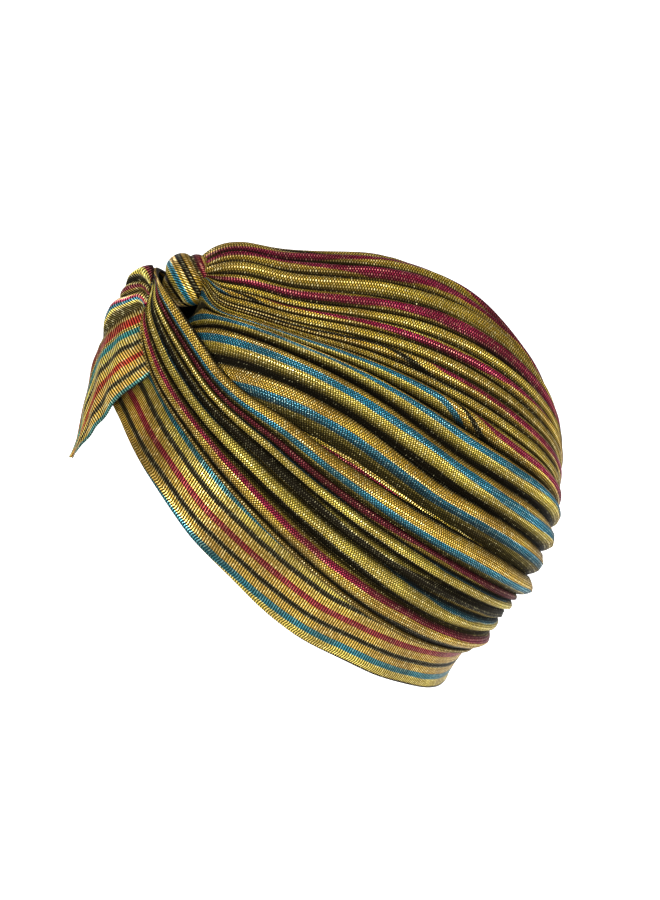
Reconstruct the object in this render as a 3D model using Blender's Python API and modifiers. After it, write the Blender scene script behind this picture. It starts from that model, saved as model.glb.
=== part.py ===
# Pleated turban hat, kept in the form that it has when worn.
# Lengths are in metres and angles in degrees. The origin is the middle of the opening, +Z is up
# and -Y is the front. The rim rises from the nape to the forehead, so the cloth is first shaped
# in the rim's own axes (side, along, rise) and then leaned by RIM_TILT.
import math

import bpy
import numpy as np

# Main sizes
RIM_TILT = 43.0
HALF_WIDTH = 0.0790
FULLNESS = 2.2
WALL = 0.0012
LAYER = 0.0022

# The cloth swells where it gathers under the knot
KNOT_OVER = 24.5
SWELL = 0.0205
SWELL_OVER = 32.0
SWELL_SPREAD = 15.5

# The hollow that the knot sits in: its depth, and its spread up the head and to the sides
NEST = 0.0165
NEST_UP = 6.3
NEST_SIDE = 7.5

# Knot: its size across the head, up the crown and outwards, and its folds
KNOT_LENGTH = 0.0330
KNOT_HEIGHT = 0.0230
KNOT_DEPTH = 0.0185
KNOT_RADIUS = 0.1310
KNOT_FOLDS = 5
KNOT_FOLD_RISE = 0.0010

# Tail: where its root follows the left wrap's edge, how far under and past the edge it lies, the
# share of it that starts in front of the wraps, and its back curl
TAIL_ROOT_ROUND = 13.0
TAIL_UNDER = 0.0023
TAIL_TUCK = 0.7
TAIL_AHEAD = 0.46
TAIL_CURL = 0.0060
TAIL_FOLD_RISE = 0.0040

# Facets
CROWN_ROWS = 22
WRAP_ROWS = 20
BAND_ROWS = 30
TAIL_ROWS = 12
PLEAT_STEPS = 4
KNOT_SIDES = 20
KNOT_RINGS = 10


def table(columns, *rows):
    """A short table as one array for each named column."""
    return dict(zip(columns.split(), np.array(rows, dtype=float).T))


# The head form's outline seen from the side: angle over the head from the front, radius
PROFILE = table(
    "over radius",
    (-90, 0.1500),
    (-45, 0.1240),
    (-20, 0.1110),
    (0, 0.1085),
    (15, 0.1100),
    (30, 0.1145),
    (45, 0.1175),
    (60, 0.1215),
    (75, 0.1241),
    (90, 0.1251),
    (105, 0.1252),
    (120, 0.1240),
    (135, 0.1187),
    (150, 0.1114),
    (165, 0.1020),
    (180, 0.1004),
    (190, 0.1080),
    (200, 0.1140),
    (225, 0.1220),
    (270, 0.1500),
)

# The lines round the head: angle round from the front, rise of the rim, of the wrap's lower and
# upper edges, and how far the wrap stands off the head
EDGES = table(
    "round rim low top lift",
    (0, -4.8, 17.5, 20.0, 0.0110),
    (6, -4.9, 12.2, 20.5, 0.0105),
    (14, -5.4, 6.3, 21.5, 0.0030),
    (30, -8.4, 4.0, 22.5, 0.0002),
    (50, -13.2, 2.5, 28.5, 0.0),
    (90, -18.0, 1.1, 35.4, 0.0),
    (120, -14.8, 2.3, 35.2, 0.0),
    (150, -9.4, 4.6, 30.0, 0.0),
    (180, -6.3, 5.4, 23.0, 0.0),
)

# The crown's fold lines: share of the way from the lower edge to the top, where the line starts
# (over the head, to the side), its direction and pull there, its rise at the seam, and its
# direction and pull there
FLOW = table(
    "share over side leave leave_pull land arrive arrive_pull",
    (0.0, 35.0, 47.5, 36.0, 30.0, 12.0, 88.0, 72.0),
    (0.09, 27.0, 34.0, 38.0, 54.0, 23.0, 82.0, 61.0),
    (0.172, 20.0, 22.0, 40.0, 75.0, 26.0, 76.0, 50.0),
    (0.311, 17.5, 9.5, 42.5, 75.0, 31.0, 68.0, 49.0),
    (0.426, 17.5, 5.5, 42.0, 62.0, 35.0, 61.0, 52.0),
    (0.520, 17.5, 4.2, 45.0, 49.0, 38.0, 59.0, 50.5),
    (0.619, 17.5, 3.2, 43.0, 42.0, 41.0, 51.0, 47.0),
    (0.721, 17.5, 2.4, 34.0, 42.5, 44.0, 39.0, 42.0),
    (0.828, 17.5, 1.5, 24.0, 43.0, 47.5, 22.0, 43.0),
    (1.0, 17.5, 0.0, 0.0, 42.0, 52.0, 0.0, 42.0),
)

# The tail, a row for each section from its root to its tip: its upper edge, its hem, and the
# shares across it where its three folds end
TAIL = table(
    "way top_side top_front top_rise hem_side hem_front hem_rise first second third bow",
    (0.00, -0.0040, 0.1300, 0.0464, 0.0240, 0.1136, 0.0150, 0.06, 0.12, 0.20, 0.000),
    (0.08, -0.0080, 0.1345, 0.0478, 0.0250, 0.1140, 0.0116, 0.10, 0.20, 0.34, 0.001),
    (0.16, -0.0110, 0.1358, 0.0385, 0.0240, 0.1140, 0.0083, 0.08, 0.20, 0.40, 0.002),
    (0.25, -0.0100, 0.1315, 0.0255, 0.0230, 0.1135, 0.0047, 0.06, 0.15, 0.40, 0.002),
    (0.50, -0.0080, 0.1250, 0.0048, 0.0190, 0.1125, -0.0080, 0.05, 0.10, 0.16, 0.002),
    (0.75, -0.0010, 0.1160, -0.0155, 0.0150, 0.1090, -0.0240, 0.05, 0.10, 0.16, 0.001),
    (0.90, 0.0050, 0.1070, -0.0320, 0.0120, 0.1060, -0.0350, 0.05, 0.10, 0.16, 0.000),
    (1.00, 0.0075, 0.1042, -0.0415, 0.0090, 0.1035, -0.0430, 0.05, 0.10, 0.16, 0.000),
)

# The crown's pleats, a row for each: share where it begins, its rise, where its crest lies
CROWN_PLEATS = table(
    "share rise crest",
    (0.098, 0.0046, 0.55),
    (0.246, 0.0050, 0.55),
    (0.377, 0.0044, 0.52),
    (0.475, 0.0036, 0.50),
    (0.566, 0.0044, 0.52),
    (0.672, 0.0044, 0.50),
    (0.770, 0.0042, 0.50),
    (0.885, 0.0040, 0.50),
    (1.0, 0.0, 0.50),
)

# The wrap's pleats, from its lower edge to its upper one
WRAP_PLEATS = table(
    "share rise crest",
    (0.0, 0.0028, 0.45),
    (0.16, 0.0040, 0.48),
    (0.36, 0.0044, 0.50),
    (0.58, 0.0046, 0.50),
    (0.80, 0.0040, 0.55),
    (1.0, 0.0, 0.50),
)


def along(columns, name, x):
    """One column of a table as a smooth curve over its first column."""
    xs = next(iter(columns.values()))
    ys = columns[name]
    slope = np.zeros_like(ys)
    slope[1:-1] = (ys[2:] - ys[:-2]) / (xs[2:] - xs[:-2])
    x = np.clip(x, xs[0], xs[-1])
    i = np.clip(np.searchsorted(xs, x, side="right") - 1, 0, len(xs) - 2)
    h = xs[i + 1] - xs[i]
    u = (x - xs[i]) / h
    rise = ys[i + 1] - ys[i]
    ease = 3 * u**2 - 2 * u**3
    return ys[i] + ease * rise + h * (slope[i] * (u**3 - 2 * u**2 + u) + slope[i + 1] * (u**3 - u**2))


def over(angle, side):
    """Direction at an angle over the head from the front and an angle out to the side."""
    a = np.radians(angle)
    s = np.radians(side)
    return np.stack([np.sin(s), -np.cos(s) * np.cos(a), np.cos(s) * np.sin(a)], axis=-1)


def around(angle, rise):
    """Direction at an angle round the rim from the front and an angle above the rim."""
    a = np.radians(angle)
    r = np.radians(rise)
    return np.stack([np.cos(r) * np.sin(a), -np.cos(r) * np.cos(a), np.sin(r)], axis=-1)


def on_head(direction, lift):
    """The point of the head form in a direction, lifted off it."""
    side, front, rise = direction[..., 0], direction[..., 1], direction[..., 2]
    angle = np.degrees(np.arctan2(rise, -front))
    angle = np.where(angle < -90.0, angle + 360.0, angle)
    middle = np.hypot(front, rise) / along(PROFILE, "radius", angle)
    radius = (np.abs(side / HALF_WIDTH) ** FULLNESS + middle**FULLNESS) ** (-1 / FULLNESS)
    away = np.degrees(np.arccos(np.clip(direction @ over(SWELL_OVER, 0.0), -1.0, 1.0)))
    radius = radius + SWELL * np.exp(-((away / SWELL_SPREAD) ** 2)) + lift
    return direction * radius[..., None]


def leaned(p):
    """From the rim's axes to the hat's."""
    c = math.cos(math.radians(RIM_TILT))
    s = math.sin(math.radians(RIM_TILT))
    return np.stack([p[..., 0], p[..., 1] * c + p[..., 2] * s, p[..., 2] * c - p[..., 1] * s], axis=-1)


def shares(pleats):
    """The share across the cloth of each column of facets, PLEAT_STEPS to a pleat."""
    edges = pleats["share"]
    steps = np.arange((len(edges) - 1) * PLEAT_STEPS + 1) / PLEAT_STEPS
    return np.interp(steps, np.arange(len(edges)), edges)


def pleated(pleats, share):
    """The rise of the pleats at a share across the cloth, with sharp valleys between them."""
    edges = pleats["share"]
    i = np.clip(np.searchsorted(edges, share, side="right") - 1, 0, len(edges) - 2)
    u = np.clip((share - edges[i]) / (edges[i + 1] - edges[i]), 0.0, 1.0)
    u = u ** (np.log(0.5) / np.log(pleats["crest"][i]))
    return pleats["rise"][i] * np.sin(np.pi * u) ** 0.8


def crown_place(share, way):
    """A point of the crown, a share up from its edge and a part of the way to the seam."""
    leave = np.radians(along(FLOW, "leave", share))
    arrive = np.radians(along(FLOW, "arrive", share))
    out = along(FLOW, "leave_pull", share)
    back = along(FLOW, "arrive_pull", share)
    a0 = along(FLOW, "over", share)
    b0 = along(FLOW, "side", share)
    a3 = 180.0 - along(FLOW, "land", share)
    w0, w1, w2, w3 = (1 - way) ** 3, 3 * way * (1 - way) ** 2, 3 * way**2 * (1 - way), way**3
    angle = w0 * a0 + w1 * (a0 + out * np.cos(leave)) + w2 * (a3 - back * np.cos(arrive)) + w3 * a3
    side = w0 * b0 + w1 * (b0 + out * np.sin(leave)) + w2 * back * np.sin(arrive)
    full = np.clip(0.22 + 3.4 * way, 0.0, 1.0) * np.clip(0.45 + 3.0 * (1 - way), 0.0, 1.0)
    seam = 0.0025 * np.exp(-(((1 - way) / 0.03) ** 2))
    nest = NEST * np.exp(-(((angle - KNOT_OVER) / NEST_UP) ** 2) - (side / NEST_SIDE) ** 2)
    return on_head(over(angle, side), pleated(CROWN_PLEATS, share) * full - seam - nest)


def wrap_place(share, way, hug=1.0):
    """A point of the left wrap, a share up from its lower edge, from the knot to the nape."""
    angle = 1.0 + 178.83 * way**1.35
    low = along(EDGES, "low", angle)
    rise = low + share * (along(EDGES, "top", angle) - low)
    full = np.clip(0.18 + 3.6 * way, 0.0, 1.0) * np.clip(0.45 + 1.8 * (1 - way), 0.0, 1.0)
    off = along(EDGES, "lift", angle) * (hug + (1 - hug) * np.clip(2.0 * share, 0.0, 1.0))
    lift = LAYER + off + pleated(WRAP_PLEATS, share) * full
    return on_head(around(angle, rise), lift)


def other_wrap_place(share, way):
    """A point of the right wrap, which mirrors the left one but lies closer along its lower edge."""
    return wrap_place(share, way, 0.15) * np.array([-1.0, 1.0, 1.0])


def tail_root(share, way):
    """The tail's root: in front of the wraps' tips, then tucked under the left wrap's lower edge."""
    angle = TAIL_ROOT_ROUND * share
    ahead = np.clip((TAIL_AHEAD - share) / 0.12, 0.0, 1.0)
    rise = along(EDGES, "low", angle) + TAIL_TUCK - (TAIL_TUCK + 0.8) * ahead
    lift = LAYER + along(EDGES, "lift", angle) - TAIL_UNDER
    return on_head(around(angle, rise), lift + ahead * (TAIL_UNDER + 0.0018))


def tail_place(column, way):
    """A point of the tail, in its column across and a part of the way to the tip."""
    stops = [np.zeros_like(way)]
    stops += [along(TAIL, name, way) for name in ("first", "second", "third")]
    stops += [np.ones_like(way)]
    lobe = np.clip(np.floor(column).astype(int), 0, 3)
    part = column - lobe
    begin = np.choose(lobe, stops[:4])
    end = np.choose(lobe, stops[1:])
    share = begin + part * (end - begin)
    top = np.stack([along(TAIL, "top_" + k, way) for k in ("side", "front", "rise")], axis=-1)
    hem = np.stack([along(TAIL, "hem_" + k, way) for k in ("side", "front", "rise")], axis=-1)
    top[:, 1] *= -1.0
    hem[:, 1] *= -1.0
    points = top + share[:, None] * (hem - top)
    root = tail_root(share, way)
    ease = np.clip(way / 0.10, 0.0, 1.0)[:, None]
    ease = ease * ease * (3.0 - 2.0 * ease)
    points = root + ease * (points - root)
    outwards = np.array([0.51, -0.85, -0.10])
    wide = np.linalg.norm(hem - top, axis=-1) * (end - begin)
    fold = np.where(lobe < 3, np.minimum(TAIL_FOLD_RISE, 0.45 * wide), 0.0) * np.sin(np.pi * part) ** 0.8
    lift = fold * ease[:, 0] + along(TAIL, "bow", way) * np.sin(np.pi * share)
    curl = np.clip(1.0 - share / 0.10, 0.0, 1.0) ** 1.5 * ease[:, 0] * TAIL_CURL
    width = np.clip(np.linalg.norm(hem - top, axis=-1) / 0.020, 0.0, 1.0)
    return points + (lift - curl * width)[:, None] * outwards


def band_place(share, way):
    """A point of the band's left half, a share up from the rim, from the front to the back."""
    angle = 180.0 * way
    low = along(EDGES, "rim", angle)
    high = np.minimum(along(EDGES, "low", angle) + 4.5, 14.0)
    return on_head(around(angle, low + share * (high - low)), 0.0 * share)


def sheet(name, columns, rows, place):
    """A grid whose points are moved to where place(share across, part of the way) puts them."""
    bpy.ops.mesh.primitive_grid_add(x_subdivisions=len(columns) - 1, y_subdivisions=rows, size=1.0)
    piece = bpy.context.object
    piece.name = name
    piece.data.name = name
    flat = np.empty(len(piece.data.vertices) * 3)
    piece.data.vertices.foreach_get("co", flat)
    flat = flat.reshape(-1, 3) + 0.5
    column = np.rint(flat[:, 0] * (len(columns) - 1)).astype(int)
    points = leaned(place(columns[column], flat[:, 1]))
    points[np.abs(points[:, 0]) < 1e-7, 0] = 0.0
    piece.data.vertices.foreach_set("co", points.ravel())
    piece.data.update()
    face = piece.data.polygons[len(piece.data.polygons) // 2]
    if face.normal.dot(face.center) < 0.0:
        piece.data.flip_normals()
    return piece


def knot_piece():
    """A lump of cloth wound across the front, its folds running from side to side."""
    bpy.ops.mesh.primitive_uv_sphere_add(segments=KNOT_SIDES, ring_count=KNOT_RINGS, radius=1.0)
    piece = bpy.context.object
    piece.name = "knot"
    piece.data.name = "knot"
    flat = np.empty(len(piece.data.vertices) * 3)
    piece.data.vertices.foreach_get("co", flat)
    ball = flat.reshape(-1, 3)
    across = ball[:, 2]
    turn = np.arctan2(ball[:, 1], ball[:, 0])
    round_it = np.hypot(ball[:, 0], ball[:, 1])
    fold = 1.0 + KNOT_FOLD_RISE / (KNOT_HEIGHT / 2) * (np.abs(np.sin(KNOT_FOLDS * turn / 2)) * 2 - 1) * round_it
    up = ball[:, 1] * fold * KNOT_HEIGHT / 2
    out = ball[:, 0] * fold * KNOT_DEPTH / 2 - 0.0035 * across**2
    centre = over(KNOT_OVER, 0.0) * KNOT_RADIUS
    normal = over(KNOT_OVER, 0.0)
    slope = over(KNOT_OVER + 90.0, 0.0)
    side = np.array([1.0, 0.0, 0.0])
    points = centre + np.outer(across * KNOT_LENGTH / 2, side) + np.outer(up, slope) + np.outer(out, normal)
    piece.data.vertices.foreach_set("co", leaned(points).ravel())
    piece.data.update()
    piece.data.flip_normals()
    return piece


def doubled(piece):
    mirror = piece.modifiers.new("other half", "MIRROR")
    mirror.use_axis = (True, False, False)
    mirror.use_mirror_merge = True
    mirror.merge_threshold = 0.00005


def thickened(piece, wall):
    solid = piece.modifiers.new("cloth", "SOLIDIFY")
    solid.thickness = wall
    solid.offset = -1.0


def coloured(piece, colour, rough, shine):
    material = bpy.data.materials.new(piece.name + " cloth")
    material.use_nodes = True
    shader = material.node_tree.nodes["Principled BSDF"]
    shader.inputs["Base Color"].default_value = (*colour, 1.0)
    shader.inputs["Roughness"].default_value = rough
    shader.inputs["Metallic"].default_value = shine
    piece.data.materials.append(material)
    piece.data.shade_smooth()


for old in list(bpy.data.objects):
    bpy.data.objects.remove(old, do_unlink=True)
hat = bpy.data.collections.new("pleated_turban_hat")
bpy.context.scene.collection.children.link(hat)

crown_shares = np.concatenate([[0.0, 0.05], shares(CROWN_PLEATS)])
crown = sheet("crown", crown_shares, CROWN_ROWS, crown_place)
doubled(crown)
thickened(crown, WALL)

band = sheet("rim_band", np.array([0.0, 0.06, 0.5, 1.0]), BAND_ROWS, band_place)
doubled(band)
thickened(band, WALL)

left_wrap = sheet("left_wrap", shares(WRAP_PLEATS), WRAP_ROWS, wrap_place)
thickened(left_wrap, WALL)

right_wrap = sheet("right_wrap", shares(WRAP_PLEATS), WRAP_ROWS, other_wrap_place)
thickened(right_wrap, WALL)

knot = knot_piece()

tail = sheet("tail", np.array([0, 0.5, 1, 1.33, 1.67, 2, 2.25, 2.5, 2.75, 3, 3.25, 3.5, 3.75, 4]), TAIL_ROWS, tail_place)
thickened(tail, WALL)

coloured(crown, (0.50, 0.37, 0.09), 0.38, 0.55)
coloured(band, (0.52, 0.38, 0.10), 0.38, 0.55)
coloured(left_wrap, (0.46, 0.34, 0.09), 0.38, 0.55)
coloured(right_wrap, (0.46, 0.34, 0.09), 0.38, 0.55)
coloured(knot, (0.48, 0.36, 0.10), 0.38, 0.55)
coloured(tail, (0.56, 0.42, 0.12), 0.38, 0.55)

for piece in (crown, band, left_wrap, right_wrap, knot, tail):
    for home in list(piece.users_collection):
        home.objects.unlink(piece)
    hat.objects.link(piece)
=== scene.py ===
import math

import bpy
import numpy as np

from mathutils import Matrix


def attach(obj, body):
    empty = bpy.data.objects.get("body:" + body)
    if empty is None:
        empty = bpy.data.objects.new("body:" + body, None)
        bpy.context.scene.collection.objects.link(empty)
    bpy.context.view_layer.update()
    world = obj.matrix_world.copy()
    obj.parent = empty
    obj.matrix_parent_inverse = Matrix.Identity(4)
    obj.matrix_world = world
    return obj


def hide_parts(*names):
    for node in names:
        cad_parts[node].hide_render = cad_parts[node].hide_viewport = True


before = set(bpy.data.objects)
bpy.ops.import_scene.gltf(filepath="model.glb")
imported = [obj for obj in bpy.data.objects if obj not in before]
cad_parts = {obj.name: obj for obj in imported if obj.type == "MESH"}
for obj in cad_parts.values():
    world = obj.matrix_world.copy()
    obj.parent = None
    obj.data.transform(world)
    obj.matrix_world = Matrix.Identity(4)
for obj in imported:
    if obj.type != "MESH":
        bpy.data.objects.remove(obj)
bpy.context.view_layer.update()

# Lengths are in metres and angles in degrees. Shapes are worked out in the rim's own axes (side,
# along, rise), which are then leaned by RIM_TILT.

# The head form: the rim's lean, half the head's width and how full its sides are, and the swell of
# gathered cloth under the knot
RIM_TILT = 43.0
HALF_WIDTH = 0.0790
FULLNESS = 2.2
SWELL = 0.0205
SWELL_OVER = 32.0
SWELL_SPREAD = 15.5

# The cloth: its wall, the height of one layer over another, one repeat of its stripes, the lap of the
# crown's back seam, and the strips of faces across a pleat
CLOTH = 0.0008
LAYER = 0.0022
REPEAT = 0.0250
SEAM_LAP = 0.0004
STEPS = 10

# The share of the way along a piece where its rows of cells run square to its pleats
SQUARE_AT = 0.42

# The pleats: how uneven their rise is, how steep they may be, how round, the share of their rise that
# is left at the back, and over what share of the way it is lost
UNEVEN = 0.18
STEEPEST = 0.50
ROUND = 0.85
BACK_FULL = 0.62
BACK_LONG = 0.10

# Fine wrinkles on the pleats, which fade out on those narrower than WRINKLE_WIDTH
WRINKLE = 0.00035
WRINKLE_WIDTH = 0.008

# The painted shade on the under side of a pleat: how far across it reaches, and how softly it ends.
# Pleats that rise less than SHADE_RISE have softer painted shade.
UNDER_TO = 0.62
UNDER_FADE = 0.30
SHADE_RISE = 0.0012

# How pleats split near the knot: how far along, how slowly, how deep and how much shade is painted
# in the split, and where in the pleat and how widely
SPLIT_REACH = (0.22, 0.52)
SPLIT_FADE = 0.34
SPLIT_DEPTH = 0.75
SPLIT_SHADE = 0.45
NOTCH_AT = (0.42, 0.58)
NOTCH_WIDE = 0.13

# The hollow that the knot sits in: how deep it is, its spread to the front, to the back and sideways,
# and how deep in it shade starts to be painted, and over how much more the painted shade is full
NEST = 0.0165
NEST_FRONT = 6.3
NEST_BACK = 1.9
NEST_SIDE = 7.5
DARK_FROM = 0.14
DARK_OVER = 0.22

# How the crown's folds bunch up behind the knot: from which share up the side and way along, where,
# and how far they move back and in
BUNCH_FROM = 0.38
BUNCH_FADE = 0.16
BUNCH_START = 0.06
BUNCH_OVER = 21.0
BUNCH_LONG = 6.5
BUNCH_SIDE = 7.5
BUNCH_WIDE = 5.5
BUNCH_BACK = 5.0
BUNCH_IN = 3.2

# The crown's lower places: its top pleats in the front half, the dip behind the knot, and the back seam
TOP_DIP = 0.0022
TOP_FROM = 0.50
TOP_UNTIL = 0.55
TOP_FADE = 0.35
DIP = 0.0026
DIP_OVER = 42.0
DIP_LONG = 7.0
DIP_WIDE = 14.0
SEAM_DIP = 0.0042
SEAM_LONG = 0.018

# The crown's rows: how closely they stand at the back, from where they lap over the middle, how far
# along the cloth is gathered at the back and at the knot, and over what share its stripes turn
CROWN_CLOSE = 0.92
LAP_FROM = 0.985
GATHER_BACK = 0.07
GATHER_FRONT = 0.06
TURN_OVER = 0.16

# The wraps: where they begin and how far round they reach, how closely their rows stand at the front,
# and how deep and how wide their tucked edges are
WRAP_FROM = -0.4
WRAP_ROUND = 180.45
WRAP_CLOSE = 1.35
TUCK = 0.0018
TUCK_WIDE = 0.02

# The band: how far it reaches up under the wraps, how closely its columns stand at the rim, its
# waviness, its hem's rise and place, its edge's turn, and how far up from the edge shade is painted
BAND_UNDER = 4.5
BAND_TOP = 14.0
BAND_CLOSE = 1.25
BAND_WAVE = 0.00035
HEM_RISE = 0.0007
HEM_AT = 0.035
HEM_WIDE = 0.03
HEM_TURN = 0.0010
HEM_EDGE = 0.008
EDGE_DARK = 0.0009

# The knot: its place over the head, from the middle of the head and forward, the radius of its arch
# and the legs under it, its half thickness outwards and inwards, half its width, how its folds and its
# stripes turn along it, the depth and place of its creases, and its unevenness
KNOT_OVER = 24.5
KNOT_RADIUS = 0.1292
KNOT_FORWARD = -0.0012
KNOT_ARCH = 0.0050
KNOT_LEG = 0.0055
KNOT_OUT = 0.0112
KNOT_IN = 0.0036
KNOT_WIDE = 0.0117
KNOT_TWIST = 0.25
KNOT_SLANT = -0.75
KNOT_CREASE = 0.24
KNOT_CREASE_AT = 1.94
KNOT_UNEVEN = 0.03

# Closer to a pole of the knot than this, a point has no turn of its own
POLE = 1e-4

# About a whole turn in radians, which the waves of the unevenness use
TURN = 6.28


def table(columns, *rows):
    """A table as a dictionary of its named columns."""
    return dict(zip(columns.split(), np.array(rows, dtype=float).T))


# The head form's outline seen from the side: angle over the head from the front, radius
PROFILE = table(
    "over radius",
    (-90, 0.1500),
    (-45, 0.1240),
    (-20, 0.1110),
    (0, 0.1085),
    (15, 0.1100),
    (30, 0.1145),
    (45, 0.1175),
    (60, 0.1215),
    (75, 0.1241),
    (90, 0.1251),
    (105, 0.1252),
    (120, 0.1240),
    (135, 0.1187),
    (150, 0.1114),
    (165, 0.1020),
    (180, 0.1026),
    (190, 0.1084),
    (200, 0.1140),
    (225, 0.1220),
    (270, 0.1500),
)

# Round the head from the front to the back: the rise of the rim's edge, of the wraps' lower and
# upper edges, how far the wraps stand off, and the stripe that the rim's edge is cut at
EDGES = table(
    "round rim low top lift cut",
    (0, -4.8, 17.5, 20.0, 0.0110, 0.02),
    (6, -4.9, 12.2, 20.5, 0.0105, 0.02),
    (14, -5.4, 8.3, 21.5, 0.0030, 0.01),
    (30, -8.4, 6.2, 22.5, 0.0002, -0.02),
    (50, -13.2, 4.2, 28.5, 0.0, -0.10),
    (90, -17.8, 2.0, 35.4, 0.0, -0.25),
    (120, -13.2, 2.3, 35.2, 0.0, -0.29),
    (150, -7.9, 4.6, 30.0, 0.0, -0.29),
    (180, -5.9, 5.4, 23.0, 0.0, -0.29),
)

# The crown's fold lines by their share up one side: where each begins over the head and to the side,
# the way it leaves and its pull there, where it lands at the back, and the same for its arrival
FLOW = table(
    "share over side leave leave_pull land arrive arrive_pull",
    (0.0, 35.0, 47.5, 36.0, 30.0, 12.0, 88.0, 72.0),
    (0.09, 27.0, 34.0, 38.0, 54.0, 23.0, 82.0, 61.0),
    (0.172, 20.0, 22.0, 40.0, 75.0, 26.0, 76.0, 50.0),
    (0.311, 17.5, 9.5, 42.5, 75.0, 31.0, 68.0, 49.0),
    (0.426, 17.5, 5.5, 42.0, 62.0, 35.0, 61.0, 52.0),
    (0.520, 17.5, 4.2, 45.0, 49.0, 38.0, 59.0, 50.5),
    (0.619, 17.5, 3.2, 43.0, 42.0, 41.0, 51.0, 47.0),
    (0.721, 17.5, 2.4, 34.0, 42.5, 44.0, 39.0, 42.0),
    (0.828, 17.5, 1.5, 24.0, 43.0, 47.5, 22.0, 43.0),
    (1.0, 17.5, 0.0, 0.0, 42.0, 52.0, 0.0, 42.0),
)

# The crown's pleats up one side: where each begins, its rise, where its crest lies in it, how far it
# splits near the knot, its painted shade all over and on its lower side, how many repeats of the
# stripes its crest crosses by the way back and where, and the stripe at its lower valley, crest and
# upper valley
CROWN_PLEATS = table(
    "share rise crest split dim under turn turn_at low_stripe crest_stripe high_stripe",
    (0.0, 0.0004, 0.50, 0.0, 0.0, 0.0, 0.0, 0.5, -1.20, -0.75, -0.30),
    (0.098, 0.0060, 0.60, 0.0, 0.0, 0.55, 0.0, 0.5, -0.20, 0.09, 0.24),
    (0.235, 0.0062, 0.56, 0.2, 0.0, 0.0, 0.0, 0.5, -0.26, 0.0, 0.23),
    (0.367, 0.0058, 0.56, 0.6, 0.0, 0.0, 0.0, 0.5, -0.26, 0.0, 0.24),
    (0.478, 0.0052, 0.54, 0.9, 0.0, 0.0, 0.5, 0.55, -0.22, 0.0, 0.20),
    (0.564, 0.0034, 0.50, 0.0, 0.26, 0.0, 0.0, 0.5, 0.58, 0.66, 0.73),
    (0.606, 0.0050, 0.50, 0.6, 0.0, 0.0, 0.28, 0.45, 1.08, 1.22, 1.36),
    (0.657, 0.0034, 0.50, 0.0, 0.22, 0.0, 0.0, 0.5, 1.58, 1.66, 1.73),
    (0.702, 0.0052, 0.48, 0.3, 0.0, 0.0, 0.5, 0.14, 1.87, 2.0, 2.15),
    (0.752, 0.0036, 0.50, 0.0, 0.16, 0.0, 0.0, 0.5, 2.62, 2.66, 2.70),
    (0.797, 0.0050, 0.50, 0.8, 0.0, 0.0, 0.0, 0.5, 3.42, 3.52, 3.64),
    (0.853, 0.0040, 0.50, 0.0, 0.16, 0.0, 0.0, 0.5, 3.58, 3.63, 3.68),
    (0.905, 0.0048, 0.50, 0.6, 0.0, 0.0, 0.0, 0.5, 4.38, 4.49, 4.62),
    (0.963, 0.0034, 0.55, 0.0, 0.12, 0.0, 0.0, 0.5, 4.60, 4.64, 4.66),
    (1.0, 0.0, 0.50, 0.0, 0.0, 0.0, 0.0, 0.5, 4.66, 4.66, 4.66),
)

# The wrap's pleats in the same way, from its lower edge to its upper one; their stripes don't turn
WRAP_PLEATS = table(
    "share rise crest split dim under low_stripe crest_stripe high_stripe",
    (0.0, 0.0020, 0.50, 0.0, 0.45, 0.0, 0.06, 0.12, 0.18),
    (0.055, 0.0048, 0.52, 0.0, 0.20, 0.0, 0.24, 0.42, 0.62),
    (0.28, 0.0040, 0.55, 0.0, 0.26, 0.0, 0.73, 0.87, 0.95),
    (0.47, 0.0026, 0.50, 0.0, 0.42, 0.0, 1.70, 1.76, 1.82),
    (0.59, 0.0036, 0.48, 0.0, 0.20, 0.0, 1.73, 1.87, 1.96),
    (0.71, 0.0022, 0.50, 0.0, 0.46, 0.0, 2.43, 2.49, 2.55),
    (0.79, 0.0054, 0.52, 0.0, 0.0, 0.0, 2.86, 3.10, 3.23),
    (1.0, 0.0, 0.50, 0.0, 0.0, 0.0, 3.23, 3.23, 3.23),
)

# The tail, a row for each section from its root to its tip: its free edge and its hem, the shares
# across where its second, third and fourth folds begin, and its bow
TAIL = table(
    "way top_side top_front top_rise hem_side hem_front hem_rise first second third bow",
    (0.00, -0.0040, 0.1300, 0.0464, 0.0240, 0.1079, 0.0189, 0.120, 0.220, 0.370, 0.000),
    (0.08, -0.0080, 0.1340, 0.0470, 0.0245, 0.1089, 0.0123, 0.170, 0.255, 0.390, 0.001),
    (0.16, -0.0110, 0.1348, 0.0385, 0.0240, 0.1103, 0.0063, 0.110, 0.215, 0.370, 0.002),
    (0.25, -0.0100, 0.1315, 0.0255, 0.0230, 0.1115, -0.0001, 0.020, 0.045, 0.250, 0.002),
    (0.50, -0.0080, 0.1250, 0.0048, 0.0190, 0.1088, -0.0152, 0.008, 0.016, 0.035, 0.002),
    (0.75, -0.0010, 0.1160, -0.0155, 0.0150, 0.1065, -0.0274, 0.006, 0.012, 0.024, 0.001),
    (0.90, 0.0050, 0.1070, -0.0320, 0.0120, 0.1051, -0.0353, 0.010, 0.020, 0.040, 0.000),
    (1.00, 0.0075, 0.1042, -0.0415, 0.0090, 0.1033, -0.0406, 0.010, 0.020, 0.040, 0.000),
)

# The tail's root: how far round it reaches, how far under the wrap it lies and above the wrap's lower
# edge, and the share of it that starts in front of the wraps, with its own lift and place there
TAIL_ROOT_ROUND = 13.0
TAIL_UNDER = 0.0023
TAIL_TUCK = 2.2
TAIL_AHEAD = 0.46
TAIL_AHEAD_FADE = 0.12
TAIL_AHEAD_LIFT = 0.0018
TAIL_AHEAD_TUCK = 0.9

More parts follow.
